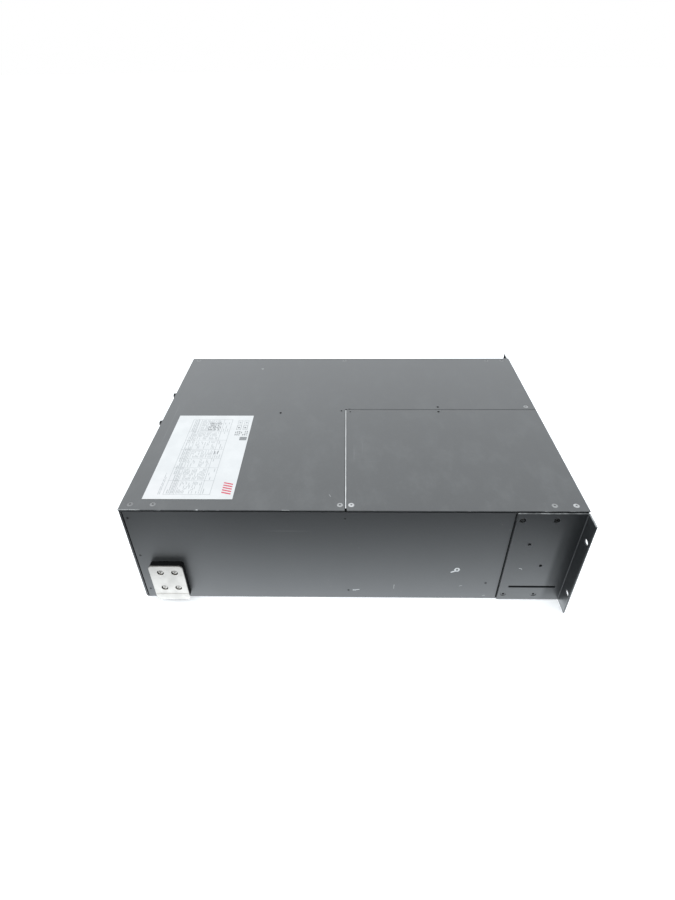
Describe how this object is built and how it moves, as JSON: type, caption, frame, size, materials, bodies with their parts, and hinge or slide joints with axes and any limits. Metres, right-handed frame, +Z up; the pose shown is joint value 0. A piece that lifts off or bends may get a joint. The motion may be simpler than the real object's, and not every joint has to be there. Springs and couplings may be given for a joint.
{
  "type": "rackmount ups",
  "caption": "Four-unit black steel rackmount UPS without its bezel, with rack ears, a sliding battery tray, fans, sockets and keys.",
  "frame": {"origin": "middle of the casing's flat bottom, where it rests", "axes": "+Z up, -Y towards the front with the rack ears and battery tray, +Y towards the rear panel, -X the left side seen from the front"},
  "size_m": [0.4826, 0.6566, 0.1754],
  "materials": {
    "black_paint": "satin black powder coat on folded steel sheet, fine orange-peel texture",
    "galvanised": "bare galvanised steel sheet",
    "zinc": "bright zinc plated steel",
    "black_plastic": "moulded black thermoplastic, fine spark texture",
    "grey_plastic": "moulded grey thermoplastic",
    "key_plastic": "moulded light grey thermoplastic",
    "smoked_lens": "polished smoked acrylic",
    "label_film": "white polyester label film",
    "circuit_board": "green solder mask on glass-epoxy board",
    "aluminium": "plain aluminium",
    "core_steel": "varnished steel laminations",
    "winding_tape": "copper winding under amber tape",
    "capacitor_sleeve": "dark blue heat-shrink sleeve",
    "battery_case": "dark grey moulded battery case",
    "cable_rubber": "red insulated lead, matt"
  },
  "bodies": {
    "chassis": {"case": "black_paint", "top_cover": "black_paint", "battery_bay_cover": "black_paint", "rear_panel": "black_paint", "front_panel": "black_paint", "accessory_slot_cover": "black_paint", "left_rack_ear": "black_paint", "right_rack_ear": "black_paint", "bay_divider": "galvanised", "accessory_slot_cage": "galvanised", "fan_guard_left": "zinc", "fan_guard_right": "zinc", "left_rail_plate": "zinc", "right_rail_plate": "zinc", "ground_stud": "zinc", "power_outlet_1": "black_plastic", "power_outlet_2": "black_plastic", "power_outlet_3": "black_plastic", "power_outlet_4": "black_plastic", "heavy_outlet": "black_plastic", "power_inlet": "black_plastic", "input_breaker": "black_plastic", "output_breaker": "black_plastic", "fan_frame_left": "black_plastic", "fan_frame_right": "black_plastic", "display_housing": "black_plastic", "left_rail_spacer": "black_plastic", "right_rail_spacer": "black_plastic", "battery_port": "grey_plastic", "bay_connector": "grey_plastic", "indicator_lens": "smoked_lens", "rating_label": "label_film", "display_board": "circuit_board", "power_board": "circuit_board", "serial_port": "aluminium", "usb_port": "aluminium", "heatsink_left": "aluminium", "heatsink_right": "aluminium", "transformer_core": "core_steel", "transformer_winding": "winding_tape", "bus_capacitor_1": "capacitor_sleeve", "bus_capacitor_2": "capacitor_sleeve", "battery_cable": "cable_rubber"},
    "battery_drawer": {"battery_tray": "black_paint", "battery_1": "battery_case", "battery_2": "battery_case", "battery_3": "battery_case", "battery_4": "battery_case", "tray_connector": "grey_plastic", "tray_handle": "black_paint"},
    "left_tray_screw": {"tray_screw_1": "zinc"},
    "right_tray_screw": {"tray_screw_2": "zinc"},
    "left_fan_rotor": {"fan_rotor_left": "black_plastic"},
    "right_fan_rotor": {"fan_rotor_right": "black_plastic"},
    "on_key": {"on_button": "key_plastic"},
    "off_key": {"off_button": "key_plastic"},
    "input_reset": {"input_breaker_button": "key_plastic"},
    "output_reset": {"output_breaker_button": "key_plastic"},
    "first_slot_screw": {"slot_thumbscrew_1": "black_plastic"},
    "second_slot_screw": {"slot_thumbscrew_2": "black_plastic"}
  },
  "joints": [
    {"name": "battery_drawer_slide", "type": "slide", "parent": "chassis", "child": "battery_drawer", "axis": [0, -1, 0], "range_m": [0, 0.28]},
    {"name": "left_tray_screw_turn", "type": "hinge", "parent": "battery_drawer", "child": "left_tray_screw", "pos_m": [-0.2084, -0.31, 0.086], "axis": [0, 1, 0], "continuous": true},
    {"name": "right_tray_screw_turn", "type": "hinge", "parent": "battery_drawer", "child": "right_tray_screw", "pos_m": [0.0226, -0.31, 0.086], "axis": [0, 1, 0], "continuous": true},
    {"name": "left_fan_spin", "type": "hinge", "parent": "chassis", "child": "left_fan_rotor", "pos_m": [-0.161, 0.29, 0.088], "axis": [0, 1, 0], "continuous": true},
    {"name": "right_fan_spin", "type": "hinge", "parent": "chassis", "child": "right_fan_rotor", "pos_m": [-0.063, 0.29, 0.088], "axis": [0, 1, 0], "continuous": true},
    {"name": "on_key_press", "type": "slide", "parent": "chassis", "child": "on_key", "axis": [0, 1, 0], "range_m": [0, 0.0018], "stiffness_N_per_m": 800},
    {"name": "off_key_press", "type": "slide", "parent": "chassis", "child": "off_key", "axis": [0, 1, 0], "range_m": [0, 0.0018], "stiffness_N_per_m": 800},
    {"name": "input_breaker_trip", "type": "slide", "parent": "chassis", "child": "input_reset", "axis": [0, 1, 0], "range_m": [0, 0.004]},
    {"name": "output_breaker_trip", "type": "slide", "parent": "chassis", "child": "output_reset", "axis": [0, 1, 0], "range_m": [0, 0.004]},
    {"name": "first_slot_screw_turn", "type": "hinge", "parent": "chassis", "child": "first_slot_screw", "pos_m": [0.0082, 0.31, 0.161], "axis": [0, 1, 0], "continuous": true},
    {"name": "second_slot_screw_turn", "type": "hinge", "parent": "chassis", "child": "second_slot_screw", "pos_m": [0.097, 0.31, 0.161], "axis": [0, 1, 0], "continuous": true}
  ]
}
